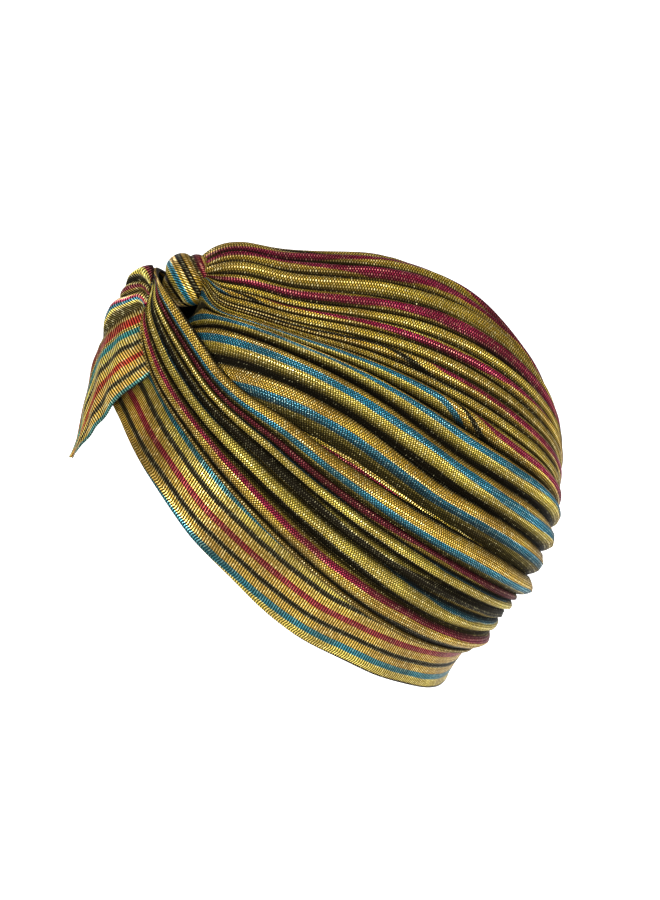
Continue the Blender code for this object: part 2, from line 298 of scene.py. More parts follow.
# The tail: over what share of its way it leaves its root, how round its folds are, the curl of its
# free edge and how far across it reaches, its waviness, the way that its folds rise, and how far
# inside a fold its stripes are read
TAIL_LEAVE = 0.10
TAIL_ROUND = 0.75
TAIL_CURL = 0.0060
TAIL_CURL_WIDE = 0.10
TAIL_WAVE = 0.0005
TAIL_OUTWARDS = np.array([0.51, -0.85, -0.10])
TAIL_INSIDE = 0.0004

# The tail's four folds from its free edge to its hem, with their rise and painted shade, and the
# stripe at places across them, counted in folds
TAIL_FOLDS = table(
    "fold rise dim",
    (0, 0.0034, 0.0),
    (1, 0.0034, 0.46),
    (2, 0.0052, 0.0),
    (3, 0.0, 0.0),
)
TAIL_CLOTH = table(
    "place stripe",
    (0.0, 2.46),
    (0.999, 2.80),
    (1.0, 1.66),
    (1.45, 1.54),
    (1.70, 1.46),
    (1.999, 1.30),
    (2.0, 0.66),
    (2.30, 0.545),
    (2.4998, 0.463),
    (2.5002, 0.04),
    (2.62, -0.045),
    (2.85, -0.18),
    (2.999, -0.20),
    (3.0, 1.66),
    (3.08, 1.56),
    (3.20, 1.46),
    (3.24, 1.05),
    (3.32, 0.95),
    (3.46, 0.75),
    (3.64, 0.50),
    (3.81, 0.25),
    (3.94, 0.065),
    (4.0, 0.022),
)

# The stripes round the knot, by the angle round it in radians
KNOT_CLOTH = table(
    "angle stripe",
    (-4.00, -1.72),
    (-0.97, -0.25),
    (-0.43, 0.00),
    (0.00, 0.25),
    (0.86, 0.50),
    (4.00, 1.95),
)


def along(columns, name, x):
    """One column of a table as a smooth curve over its first column."""
    xs = next(iter(columns.values()))
    ys = columns[name]
    slope = np.zeros_like(ys)
    slope[1:-1] = (ys[2:] - ys[:-2]) / (xs[2:] - xs[:-2])
    x = np.clip(x, xs[0], xs[-1])
    i = np.clip(np.searchsorted(xs, x, side="right") - 1, 0, len(xs) - 2)
    h = xs[i + 1] - xs[i]
    u = (x - xs[i]) / h
    rise = ys[i + 1] - ys[i]
    ease = 3 * u**2 - 2 * u**3
    return ys[i] + ease * rise + h * (slope[i] * (u**3 - 2 * u**2 + u) + slope[i + 1] * (u**3 - u**2))


def smooth(x):
    """An eased step from 0 at 0 to 1 at 1."""
    x = np.clip(x, 0.0, 1.0)
    return x * x * (3.0 - 2.0 * x)


def bell(x, width):
    """1 where x is 0, falling off to both sides over a width."""
    return np.exp(-((x / width) ** 2))


def ripple(seed, x, y, waves, x_pitch, y_pitch):
    """Soft unevenness, mostly between -1 and 1, from a few crossing waves."""
    rng = np.random.default_rng(seed)
    total = np.zeros(np.broadcast(x, y).shape)
    for _ in range(waves):
        kx = rng.uniform(0.5, 1.5) * rng.choice([-1, 1]) / x_pitch
        ky = rng.uniform(0.5, 1.5) / y_pitch
        total += np.sin(2 * math.pi * (kx * x + ky * y) + rng.uniform(0, TURN))
    return total / math.sqrt(waves)


# The head form


def over(angle, side):
    """Direction at an angle over the head from the front and an angle out to the side."""
    a = np.radians(angle)
    s = np.radians(side)
    return np.stack([np.sin(s), -np.cos(s) * np.cos(a), np.cos(s) * np.sin(a)], axis=-1)


def around(angle, rise):
    """Direction at an angle round the rim from the front and an angle above the rim."""
    a = np.radians(angle)
    r = np.radians(rise)
    return np.stack([np.cos(r) * np.sin(a), -np.cos(r) * np.cos(a), np.sin(r)], axis=-1)


def on_head(direction, lift):
    """The point of the head form in a direction, lifted off it."""
    side, front, rise = direction[..., 0], direction[..., 1], direction[..., 2]
    angle = np.degrees(np.arctan2(rise, -front))
    angle = np.where(angle < -90.0, angle + 360.0, angle)
    middle = np.hypot(front, rise) / along(PROFILE, "radius", angle)
    radius = (np.abs(side / HALF_WIDTH) ** FULLNESS + middle**FULLNESS) ** (-1 / FULLNESS)
    away = np.degrees(np.arccos(np.clip(direction @ over(SWELL_OVER, 0.0), -1.0, 1.0)))
    radius = radius + SWELL * bell(away, SWELL_SPREAD) + lift
    return direction * radius[..., None]


def leaned(p):
    """From the rim's axes to the hat's."""
    c = math.cos(math.radians(RIM_TILT))
    s = math.sin(math.radians(RIM_TILT))
    return np.stack([p[..., 0], p[..., 1] * c + p[..., 2] * s, p[..., 2] * c - p[..., 1] * s], axis=-1)


# Measures of a grid of points, whose columns run along the pleats and whose rows cross them


def run_across(shape):
    """Length across a grid from its first column, at each of its points."""
    step = np.linalg.norm(np.diff(shape, axis=1), axis=-1)
    return np.concatenate([np.zeros((len(shape), 1)), np.cumsum(step, axis=1)], axis=1)


def weave_across(shape, strip):
    """Length across each pleat from its middle, at the two sides of each strip, in repeats."""
    run = run_across(shape) / REPEAT
    middle = np.searchsorted(strip, np.arange(strip.max() + 1)) + STEPS // 2
    start = run[:, middle[strip]]
    return run[:, :-1] - start, run[:, 1:] - start


def lengths(shape):
    """Length along each column, in repeats, square to the columns at one row."""
    step = np.linalg.norm(np.diff(shape, axis=0), axis=-1)
    run = np.concatenate([np.zeros((1, shape.shape[1])), np.cumsum(step, axis=0)])
    m = int(len(shape) * SQUARE_AT)
    ahead = shape[m + 1] - shape[m - 1]
    ahead /= np.linalg.norm(ahead, axis=-1, keepdims=True)
    gain = (np.diff(shape[m], axis=0) * 0.5 * (ahead[1:] + ahead[:-1])).sum(axis=-1)
    square = np.concatenate([[0.0], np.cumsum(gain - np.diff(run[m]))])
    return (run + square) / REPEAT


def widths(shape, strip):
    """How wide each pleat is at each row."""
    step = np.linalg.norm(np.diff(shape, axis=1), axis=-1)
    count = strip.max() + 1
    return np.stack([step[:, strip == i].sum(axis=1) for i in range(count)], axis=1)


def outward(shape):
    """Outward direction at each point, drawn a quarter towards straight away from the middle."""
    down = np.gradient(shape, axis=0)
    across = np.gradient(shape, axis=1)
    n = np.cross(across, down)
    n /= np.maximum(np.linalg.norm(n, axis=-1, keepdims=True), 1e-9)
    flip = np.sign((n * shape).sum(axis=-1, keepdims=True))
    n = n * np.where(flip == 0, 1.0, flip)
    radial = shape / np.linalg.norm(shape, axis=-1, keepdims=True)
    n = 0.75 * n + 0.25 * radial
    return n / np.linalg.norm(n, axis=-1, keepdims=True)


# Meshes of cloth


def added(name):
    """The primitive that was just added, given its name and no map, and its points."""
    piece = bpy.context.object
    mesh = piece.data
    piece.name = name
    mesh.name = name
    for old in list(mesh.uv_layers):
        mesh.uv_layers.remove(old)
    points = np.empty(len(mesh.vertices) * 3)
    mesh.vertices.foreach_get("co", points)
    return piece, points.reshape(-1, 3)


def corner_points(mesh):
    """The point that each corner of each face sits on."""
    corner = np.empty(len(mesh.loops), dtype=np.int32)
    mesh.loops.foreach_get("vertex_index", corner)
    return corner


def add_mark(mesh, name, values):
    """A number on each point of a mesh, which its material reads."""
    layer = mesh.attributes.new(name, "FLOAT", "POINT")
    layer.data.foreach_set("value", values.astype(np.float32))


def add_map(mesh, name, u, v):
    """A map on a mesh from the two places in the cloth of each corner."""
    layer = mesh.uv_layers.new(name=name)
    layer.data.foreach_set("uv", np.stack([u, v], axis=-1).astype(np.float32).ravel())


def cloth_sheet(name, shape, painted_shade_depth, gather, stripes, weave, other_face=None):
    """A sheet of cloth: a grid moved to the points of shape, thickened to a wall.
    shape is rows x columns x 3 in the hat's axes; painted_shade_depth is how much shade is painted on each
    point, 0 on a crest and 1 deep between pleats; gather is 1 where the cloth is drawn together; stripes and
    weave give, for each strip between two columns, the stripe and the length across at its two sides by row;
    other_face, where given, is 1 where the cloth shows its other face."""
    rows, columns = shape.shape[:2]
    bpy.ops.object.select_all(action="DESELECT")
    bpy.ops.mesh.primitive_grid_add(x_subdivisions=columns - 1, y_subdivisions=rows - 1, size=1.0)
    piece, flat = added(name)
    mesh = piece.data
    column = np.rint((flat[:, 0] + 0.5) * (columns - 1)).astype(int)
    row = np.rint((flat[:, 1] + 0.5) * (rows - 1)).astype(int)
    mesh.vertices.foreach_set("co", shape[row, column].ravel())
    add_mark(mesh, "painted_shade", painted_shade_depth[row, column])
    add_mark(mesh, "gather", gather[row, column])
    if other_face is not None:
        add_mark(mesh, "other_face", other_face[row, column])
    corner = corner_points(mesh)
    strip = np.repeat(column[corner].reshape(-1, 4).min(axis=1), 4)
    first_side = column[corner] == strip
    u = lengths(shape)[row[corner], column[corner]]
    for kind, (low, high) in (("cloth", stripes), ("weave", weave)):
        add_map(mesh, kind, u, np.where(first_side, low[row[corner], strip], high[row[corner], strip]))
    mesh.update()
    centre = mesh.polygons[len(mesh.polygons) // 2]
    if centre.normal.dot(centre.center) < 0.0:
        mesh.flip_normals()
    mesh.shade_smooth()
    wall = piece.modifiers.new("wall", "SOLIDIFY")
    wall.thickness = CLOTH
    wall.offset = -1.0
    bpy.ops.object.modifier_apply(modifier=wall.name)
    return piece


# Pleats


def pleat_columns(pleats):
    """The share across the cloth of each column, and the pleat that each strip of faces lies in."""
    edges = pleats["share"]
    count = len(edges) - 1
    part = 0.5 - 0.5 * np.cos(np.arange(STEPS) * math.pi / STEPS)
    inner = [edges[i] + part * (edges[i + 1] - edges[i]) for i in range(count)]
    return np.concatenate(inner + [edges[-1:]]), np.repeat(np.arange(count), STEPS)


def pleat_part(pleats, share):
    """The pleat at a share across the cloth, and how far across that pleat it is."""
    edges = pleats["share"]
    i = np.clip(np.searchsorted(edges, share, side="right") - 1, 0, len(edges) - 2)
    return i, np.clip((share - edges[i]) / (edges[i + 1] - edges[i]), 0.0, 1.0)


def hump(pleats, i, u):
    """A pleat's height across it, from 0 in its valleys to 1 on its crest."""
    t = np.clip(u, 0.0, 1.0) ** (np.log(0.5) / np.log(pleats["crest"][i]))
    return np.sin(math.pi * t) ** ROUND


def stripe_at(pleats, i, u):
    """The stripe of the cloth across a pleat, in repeats of the pattern."""
    c = pleats["crest"][i]
    low = pleats["low_stripe"][i]
    mid = pleats["crest_stripe"][i]
    high = pleats["high_stripe"][i]
    return np.where(u < c, low + (mid - low) * u / c, mid + (high - mid) * (u - c) / (1 - c))


def strips_of(pleats, strip, share, drift):
    """The stripe at both sides of each strip of faces, drifting along the way. Strips past the last
    pleat are the other half's, and count back."""
    edges = pleats["share"]
    pleat = np.minimum(strip, 2 * (len(edges) - 1) - 1 - strip)
    sides = []
    for side in (share[:-1], share[1:]):
        u = np.clip((side - edges[pleat]) / (edges[pleat + 1] - edges[pleat]), 0.0, 1.0)
        sides.append(stripe_at(pleats, pleat, u)[None, :] + drift[:, strip])
    return sides


def drift_of(seed, way, count, size):
    """How far the stripes wander across each pleat along the way."""
    return size * ripple(seed, way, np.arange(count)[None, :], waves=6, x_pitch=0.5, y_pitch=2.3)


def fullness(way, start, growth):
    """How full the pleats are along the way: growing from the knot, and drawn in at the back."""
    return smooth(start + growth * way) * (BACK_FULL + (1.0 - BACK_FULL) * smooth((1.0 - way) / BACK_LONG))


def raised(base, pleats, i, u, strip, full, seed):
    """The pleats on a base surface, no steeper than they may be, and how much shade is painted on each
    point.
    """
    width = widths(base, strip)[:, i]
    share = (i + u)[None, :]
    way = np.linspace(0, 1, len(base))[:, None]
    uneven = 1.0 + UNEVEN * ripple(seed, way, share, waves=7, x_pitch=0.45, y_pitch=1.3)
    rise = np.minimum(pleats["rise"][i][None, :] * full * uneven, STEEPEST * width)
    fine = WRINKLE * ripple(seed + 1, way, share, waves=9, x_pitch=0.30, y_pitch=0.23)
    fine = fine * smooth(width / WRINKLE_WIDTH)
    rng = np.random.default_rng(seed + 3)
    count = int(i.max()) + 1
    reach = rng.uniform(*SPLIT_REACH, count)[i][None, :]
    notch_at = rng.uniform(*NOTCH_AT, count)[i]
    split = smooth((reach - way) / SPLIT_FADE) * pleats["split"][i][None, :]
    height = hump(pleats, i, u)[None, :]
    notch = split * bell(u - notch_at, NOTCH_WIDE)[None, :] * height
    lifted = base + outward(base) * (rise * (height - SPLIT_DEPTH * notch) + fine * height)[..., None]
    # painted shade: dark towards the valleys and in the split notches, over the whole of a dim pleat and
    # over a pleat's lower side, and softer on pleats that rise little
    under = pleats["under"][i] * smooth((UNDER_TO - u) / UNDER_FADE)
    shade = np.maximum(1.0 - height + SPLIT_SHADE * notch, np.maximum(pleats["dim"][i], under)[None, :])
    return lifted, shade * smooth(rise / SHADE_RISE)


# The pieces' shapes


def crown_base(share, side_sign, way):
    """The crown without its pleats, by share across and way along, and how far it is in the hollow.
    Each line of it is a curve from the knot to the back, drawn by the pull at its two ends."""
    leave = np.radians(along(FLOW, "leave", share))
    arrive = np.radians(along(FLOW, "arrive", share))
    out = along(FLOW, "leave_pull", share)
    back = along(FLOW, "arrive_pull", share)
    first_angle = along(FLOW, "over", share)
    first_side = along(FLOW, "side", share)
    last_angle = 180.0 - along(FLOW, "land", share)
    w0, w1, w2, w3 = (1 - way) ** 3, 3 * way * (1 - way) ** 2, 3 * way**2 * (1 - way), way**3
    angle = w0 * first_angle + w1 * (first_angle + out * np.cos(leave))
    angle = angle + w2 * (last_angle - back * np.cos(arrive)) + w3 * last_angle
    side = w0 * first_side + w1 * (first_side + out * np.sin(leave)) + w2 * back * np.sin(arrive)
    bunch = smooth((share - BUNCH_FROM) / BUNCH_FADE) * smooth(way / BUNCH_START)
    bunch = bunch * bell(angle - BUNCH_OVER, BUNCH_LONG) * bell(side - BUNCH_SIDE, BUNCH_WIDE)
    angle = angle + BUNCH_BACK * bunch
    side = side - BUNCH_IN * bunch
    reach = np.where(angle > KNOT_OVER, NEST_BACK, NEST_FRONT)
    hollow = bell(angle - KNOT_OVER, reach) * bell(side, NEST_SIDE)
    top = smooth((share - TOP_FROM) / TOP_FADE) * smooth((TOP_UNTIL - way) / TOP_FADE)
    low = NEST * hollow + TOP_DIP * top
    low = low + DIP * bell(angle - DIP_OVER, DIP_LONG) * bell(side, DIP_WIDE)
    return on_head(over(angle, side * side_sign), -low), hollow


def make_crown(rows, seed):
    """The crown: one sheet over both halves of the head, gathered at the knot and at the back."""
    share, strip = pleat_columns(CROWN_PLEATS)
    count = strip.max() + 1
    both = np.concatenate([share, share[-2::-1]])
    sign = np.where(np.arange(len(both)) < len(share), 1.0, -1.0)[None, :]
    way = (np.linspace(0, 1, rows) ** CROWN_CLOSE)[:, None]
    base, hollow = crown_base(both[None, :], sign, way)
    # the right half's pleats are numbered on from the left's
    pleats = {k: np.concatenate([v[:count], v[:count][::-1], v[-1:]]) for k, v in CROWN_PLEATS.items()}
    strip = np.concatenate([strip, 2 * count - 1 - strip[::-1]])
    i_left, u_left = pleat_part(CROWN_PLEATS, share)
    i_right, u_right = pleat_part(CROWN_PLEATS, share[-2::-1])
    i = np.concatenate([i_left, 2 * count - 1 - i_right])
    u = np.concatenate([u_left, u_right])
    shape, painted_shade_depth = raised(base, pleats, i, u, strip, fullness(way, start=0.25, growth=4.5), seed)
    # painted shade in the hollow that the knot sits in
    painted_shade_depth = np.maximum(painted_shade_depth, smooth((hollow - DARK_FROM) / DARK_OVER))
    seam = SEAM_DIP * bell(1 - way, SEAM_LONG)
    shape = shape * (1.0 - seam / np.linalg.norm(shape, axis=-1))[..., None]
    # the last rows lap over the middle, which closes the back seam
    edge = smooth((way - LAP_FROM) / (1.0 - LAP_FROM))
    shape[..., 0] = shape[..., 0] * (1.0 - edge) - SEAM_LAP * sign * edge
    points = leaned(shape)
    gather = np.maximum(bell(1 - way, GATHER_BACK), 0.6 * bell(way, GATHER_FRONT))
    gather = np.repeat(gather, len(both), axis=1)
    turned = smooth((way - pleats["turn_at"][None, :-1]) / TURN_OVER + 0.5)
    drift = drift_of(seed + 1, way, 2 * count, size=0.035) + pleats["turn"][None, :-1] * turned
    stripes = strips_of(CROWN_PLEATS, strip, both, drift)
    return cloth_sheet("crown_cloth", points, painted_shade_depth, gather, stripes, weave_across(points, strip))


def wrap_lift(angle, share, hug):
    """How far a wrap stands off the head; its two edges are tucked in."""
    off = along(EDGES, "lift", angle) * (hug + (1 - hug) * np.clip(2.0 * share, 0.0, 1.0))
    tuck = np.exp(-share / TUCK_WIDE) + np.exp(-(1 - share) / TUCK_WIDE)
    return LAYER + off - TUCK * tuck


def make_wrap(name, sign, hug, rows, seed):
    """A bundle of pleats round one side, from just past the front to just past the back."""
    share, strip = pleat_columns(WRAP_PLEATS)
    count = strip.max() + 1
    way = np.linspace(0, 1, rows)[:, None]
    angle = WRAP_FROM + WRAP_ROUND * way**WRAP_CLOSE
    low_edge = along(EDGES, "low", angle)
    rise = low_edge + share[None, :] * (along(EDGES, "top", angle) - low_edge)
    base = on_head(around(np.broadcast_to(angle, rise.shape), rise), wrap_lift(angle, share[None, :], hug))
    i, u = pleat_part(WRAP_PLEATS, share)
    shape, painted_shade_depth = raised(base, WRAP_PLEATS, i, u, strip, fullness(way, start=0.10, growth=3.4), seed)
    points = leaned(shape * np.array([sign, 1.0, 1.0]))
    gather = np.maximum(bell(1 - way, GATHER_FRONT), bell(way, GATHER_FRONT))
    gather = np.repeat(gather, len(share), axis=1)
    stripes = strips_of(WRAP_PLEATS, strip, share, drift_of(seed + 2, way, count, size=0.03))
    return cloth_sheet(name, points, painted_shade_depth, gather, stripes, weave_across(points, strip))


def make_band(rows, columns, seed):
    """The flat band round the rim, with a narrow hem, its top under the wraps."""
    way = np.linspace(-1, 1, rows)[:, None]
    share = (np.linspace(0, 1, columns) ** BAND_CLOSE)[None, :]
    angle = 180.0 * np.abs(way)
    low = along(EDGES, "rim", angle)
    high = np.minimum(along(EDGES, "low", angle) + BAND_UNDER, BAND_TOP)
    rise = low + share * (high - low)
    hem = HEM_RISE * bell(share - HEM_AT, HEM_WIDE) - HEM_TURN * np.exp(-share / HEM_EDGE)
    wave = BAND_WAVE * ripple(seed, way, share, waves=8, x_pitch=0.20, y_pitch=2.0) * (1 - share)
    points = leaned(on_head(around(np.broadcast_to(180.0 * way, rise.shape), rise), hem + wave))
    up = run_across(points)
    stripe = up / REPEAT + along(EDGES, "cut", angle)
    # painted shade along the band's lowest edge, where the hem turns in
    painted_shade_depth = 0.9 * smooth(1.6 - up / EDGE_DARK)
    pair = (stripe[:, :-1], stripe[:, 1:])
    return cloth_sheet("rim_band_cloth", points, painted_shade_depth, np.zeros_like(stripe), pair, pair)


def tail_root(share):
    """Where the tail comes out from under the left wrap, one part of it from in front."""
    angle = TAIL_ROOT_ROUND * share
    ahead = np.clip((TAIL_AHEAD - share) / TAIL_AHEAD_FADE, 0.0, 1.0)
    rise = along(EDGES, "low", angle) + TAIL_TUCK - (TAIL_TUCK - TAIL_AHEAD_TUCK) * ahead
    lift = LAYER + along(EDGES, "lift", angle) - TAIL_UNDER
    return on_head(around(angle, rise), lift + ahead * (TAIL_UNDER + TAIL_AHEAD_LIFT))


def tail_edge(name, way):
    """One edge of the tail by the way along it."""
    side, front, rise = (along(TAIL, name + part, way) for part in ("_side", "_front", "_rise"))
    return np.stack([side, -front, rise], axis=-1)


def make_tail(rows, seed):
    """The tie end: four folds side by side that run out to a point."""
    way = np.linspace(0, 1, rows) ** 1.1
    steps = np.array([STEPS, STEPS, STEPS, 2 * STEPS])
    fold = np.append(np.repeat(np.arange(4), steps), 3)
    part = np.append(np.concatenate([np.arange(n) / n for n in steps]), 1.0)
    stops = [np.zeros(rows)] + [along(TAIL, k, way) for k in ("first", "second", "third")] + [np.ones(rows)]
    begin = np.stack([stops[k] for k in fold], axis=1)
    end = np.stack([stops[k + 1] for k in fold], axis=1)
    share = begin + part[None, :] * (end - begin)
    top = tail_edge("top", way)
    span = tail_edge("hem", way) - top
    points = top[:, None, :] + share[..., None] * span[:, None, :]
    ease = smooth(way / TAIL_LEAVE)[:, None]
    root = tail_root(share)
    points = root + ease[..., None] * (points - root)
    # the folds' height, the bow across the tail, the curl of its free edge and some waviness
    wide = np.linalg.norm(span, axis=-1)[:, None] * (end - begin)
    height = np.sin(math.pi * part)[None, :] ** TAIL_ROUND
    rise = np.minimum(TAIL_FOLDS["rise"][fold][None, :], STEEPEST * wide)
    lift = rise * height * ease + along(TAIL, "bow", way)[:, None] * np.sin(math.pi * share)
    curl = np.clip(1.0 - share / TAIL_CURL_WIDE, 0.0, 1.0) ** 1.5 * ease * TAIL_CURL
    curl = curl * np.clip(np.linalg.norm(span, axis=-1) / 0.020, 0.0, 1.0)[:, None]
    wave = TAIL_WAVE * ripple(seed, way[:, None], share, waves=6, x_pitch=0.35, y_pitch=0.6) * ease
    placed = leaned(points + (lift - curl + wave)[..., None] * TAIL_OUTWARDS)
    # the painted shade: in the creases between the folds, the last fold's at its two ends alone, over the
    # whole of a dim fold, and across the third fold's side towards the hem
    part = part[None, :]
    flat_crease = np.exp(-part / 0.07) + 0.5 * smooth((part - 0.93) / 0.07)
    crease = np.where(fold[None, :] < 3, 1.0 - height, flat_crease)
    crease = np.maximum(crease, np.where(fold[None, :] == 2, smooth((part - 0.70) / 0.18), 0.0))
    painted_shade_depth = np.maximum(crease, TAIL_FOLDS["dim"][fold][None, :]) * smooth(wide / 0.004)
    gather = bell(way, TAIL_LEAVE)[:, None] * np.ones_like(share)
    # each strip's stripes, read just inside its two sides
    strip = fold[:-1]
    begins = part[0, :-1] + TAIL_INSIDE
    ends = np.where(fold[1:] == strip, part[0, 1:], 0.999) - TAIL_INSIDE
    sides = [np.interp(strip + at, TAIL_CLOTH["place"], TAIL_CLOTH["stripe"]) for at in (begins, ends)]
    stripes = [np.broadcast_to(side, (rows, len(strip))) for side in sides]
    other_face = np.where(fold == 3, 1.0, 0.0)[None, :] * np.ones_like(share)
    return cloth_sheet("tail_cloth", placed, painted_shade_depth, gather, stripes, weave_across(placed, strip), other_face)


def make_knot(seed):
    """The knot: a lump of folds arched over the front, its two ends tucked under it."""
    bpy.ops.object.select_all(action="DESELECT")
    bpy.ops.mesh.primitive_uv_sphere_add(segments=120, ring_count=72, radius=1.0)
    piece, ball = added("knot_cloth")
    mesh = piece.data
    across = np.arcsin(np.clip(ball[:, 2], -1.0, 1.0)) * 2 / math.pi
    off_axis = np.hypot(ball[:, 0], ball[:, 1])
    turn = np.where(off_axis > POLE, np.arctan2(ball[:, 1], ball[:, 0]), 0.0)
    turned = turn - KNOT_TWIST * across
    crease = np.abs(np.sin(2.0 * turned + KNOT_CREASE_AT)) ** 0.6
    close = np.sqrt(np.maximum(1.0 - np.abs(across) ** 4, 0.0))
    uneven = KNOT_UNEVEN * ripple(seed, across, turn / TURN, waves=6, x_pitch=1.2, y_pitch=0.3)
    fold = close * (1.0 + KNOT_CREASE * (crease - 1.0) + uneven)
    # along the arch, whose two quarters run on into the legs
    quarter = KNOT_ARCH * math.pi / 2
    reach = across * (quarter + KNOT_LEG)
    bent = np.clip(reach / KNOT_ARCH, -math.pi / 2, math.pi / 2)
    below = np.maximum(np.abs(reach) - quarter, 0.0)
    out = np.cos(turn) * np.where(np.cos(turn) > 0.0, KNOT_OUT, KNOT_IN) * fold
    wide = np.sin(turn) * KNOT_WIDE * fold
    to_side = KNOT_ARCH * np.sin(bent) + out * np.sin(bent)
    to_out = KNOT_ARCH * (np.cos(bent) - 1.0) - below + out * np.cos(bent)
    normal = over(KNOT_OVER, 0.0)
    slope = over(KNOT_OVER + 90.0, 0.0)
    side = np.array([1.0, 0.0, 0.0])
    centre = normal * KNOT_RADIUS - slope * KNOT_FORWARD
    points = centre + np.outer(to_side, side) + np.outer(wide, slope) + np.outer(to_out, normal)
    mesh.vertices.foreach_set("co", leaned(points).ravel())
    # painted shade in the knot's creases
    add_mark(mesh, "painted_shade", (1.0 - crease) ** 1.5 * off_axis)
    add_mark(mesh, "gather", np.abs(across) ** 4)
    # the cloth's turn at each corner, unbroken in each face; a pole takes its face's own
    corner = corner_points(mesh)
    size = np.empty(len(mesh.polygons), dtype=np.int32)
    mesh.polygons.foreach_get("loop_total", size)
    face = np.repeat(np.arange(len(mesh.polygons)), size)
    at_pole = off_axis[corner] <= POLE
    start = np.full(len(size), np.inf)
    np.minimum.at(start, face, np.where(at_pole, np.inf, turned[corner]))
    angle = np.where(at_pole, start[face], turned[corner])
    angle = np.where(angle - start[face] > math.pi, angle - 2 * math.pi, angle)
    length = np.abs(bent) * (KNOT_ARCH + 0.8 * KNOT_OUT) + below + 0.006 * (1.0 - close)
    length = np.sign(across) * length / REPEAT
    stripe = np.interp(angle, KNOT_CLOTH["angle"], KNOT_CLOTH["stripe"])
    u = 0.9 * length[corner] + KNOT_SLANT * stripe
    add_map(mesh, "cloth", u, stripe)
    add_map(mesh, "weave", u, angle / (2 * math.pi) * 3.0)
    mesh.flip_normals()
    mesh.shade_smooth()
    return piece


# Materials


def socket_group(name, inputs, outputs):
    """A new node group with its named sockets: (kind, name, value) in, (kind, name) out."""
    group = bpy.data.node_groups.new(name, "ShaderNodeTree")
    for kind, label, value in inputs:
        made = group.interface.new_socket(name=label, in_out="INPUT", socket_type="NodeSocket" + kind)
        if value is not None:
            made.default_value = value
    for kind, label in outputs:
        group.interface.new_socket(name=label, in_out="OUTPUT", socket_type="NodeSocket" + kind)
    return group


def node(tree, kind, **settings):
    """A new node, set down in the next free place of a grid."""
    made = tree.nodes.new(kind)
    column, row = divmod(len(tree.nodes) - 1, GRID_ROWS)
    made.location = (column * GRID_STEP, -row * GRID_STEP)
    for key, value in settings.items():
        setattr(made, key, value)
    return made


def feed(tree, place, value):
    """A socket, a colour or a number put into a node's input."""
    if isinstance(value, (int, float)):
        place.default_value = value
    elif isinstance(value, tuple):
        place.default_value = (*value, 1.0)
    else:
        tree.links.new(value, place)


def maths(tree, operation, *values, clamp=False):
    """The result of a math node on sockets or numbers."""
    made = node(tree, "ShaderNodeMath", operation=operation, use_clamp=clamp)
    for place, value in enumerate(values):
        feed(tree, made.inputs[place], value)
    return made.outputs[0]


def product(tree, first, *others):
    """Sockets or numbers multiplied together."""
    for other in others:
        first = maths(tree, "MULTIPLY", first, other)
    return first


def scaled(tree, value, factor, added_on, clamp=False):
    """A value times a factor, with something added on."""
    return maths(tree, "MULTIPLY_ADD", value, factor, added_on, clamp=clamp)


def mapped(tree, value, low, high, to_low=0.0, to_high=1.0, eased=True):
    """How far a value has come from low to high, between to_low and to_high."""
    made = node(tree, "ShaderNodeMapRange", interpolation_type="SMOOTHSTEP" if eased else "LINEAR")
    sockets = ("Value", "From Min", "From Max", "To Min", "To Max")
    for label, given in zip(sockets, (value, low, high, to_low, to_high)):
        feed(tree, made.inputs[label], given)
    return made.outputs[0]


def noise(tree, place, scale, detail):
    """Soft noise over the cloth."""
    made = node(tree, "ShaderNodeTexNoise", noise_dimensions="2D")
    for label, given in (("Vector", place), ("Scale", scale), ("Detail", detail)):
        feed(tree, made.inputs[label], given)
    return made.outputs[0]


def parts_of(tree, place):
    """The first two parts of a place: along the cloth and across it."""
    made = node(tree, "ShaderNodeSeparateXYZ")
    feed(tree, made.inputs[0], place)
    return made.outputs["X"], made.outputs["Y"]


def blend(tree, factor, a, b, blend_type="MIX"):
    """One colour laid over another."""
    made = node(tree, "ShaderNodeMix", data_type="RGBA", blend_type=blend_type)
    for place, value in ((0, factor), (6, a), (7, b)):
        feed(tree, made.inputs[place], value)
    return made.outputs[2]


def srgb(r, g, b):
    """A colour given in 0 to 255 as the eye reads it."""
    parts = (r / 255, g / 255, b / 255)
    return tuple(c / 12.92 if c <= 0.04045 else ((c + 0.055) / 1.055) ** 2.4 for c in parts)


# The spacing of the nodes in a material, and how many stand in one column
GRID_STEP = 240
GRID_ROWS = 6

# The yarns across one repeat: where each stripe begins and ends, and its colour on both faces
STRIPES = (
    (0.000, 0.056, srgb(28, 130, 158), srgb(24, 140, 142)),
    (0.064, 0.196, srgb(216, 174, 56), srgb(220, 176, 56)),
    (0.206, 0.294, srgb(22, 19, 8), srgb(22, 19, 8)),
    (0.304, 0.442, srgb(218, 178, 56), srgb(222, 172, 56)),
    (0.450, 0.550, srgb(164, 18, 74), srgb(176, 28, 26)),
    (0.558, 0.696, srgb(222, 188, 62), srgb(226, 180, 60)),
    (0.706, 0.794, srgb(22, 19, 8), srgb(22, 19, 8)),
    (0.804, 0.936, srgb(230, 204, 74), srgb(232, 208, 88)),
    (0.944, 1.000, srgb(28, 130, 158), srgb(24, 140, 142)),
)

# The tint of the warmer patches of yarn, the colour of the painted glints, the ground between the
# cells, and the colour of the painted shade in the valleys
WARM = srgb(226, 150, 70)
PAINTED_GLINT = srgb(255, 244, 186)
GROUND = srgb(14, 9, 2)
PAINTED_SHADE_COLOUR = srgb(12, 9, 4)

# Cells along the cloth in one repeat, and how many there are across it for each one along it
CELLS = 20.0
CELL_SHAPE = 0.54


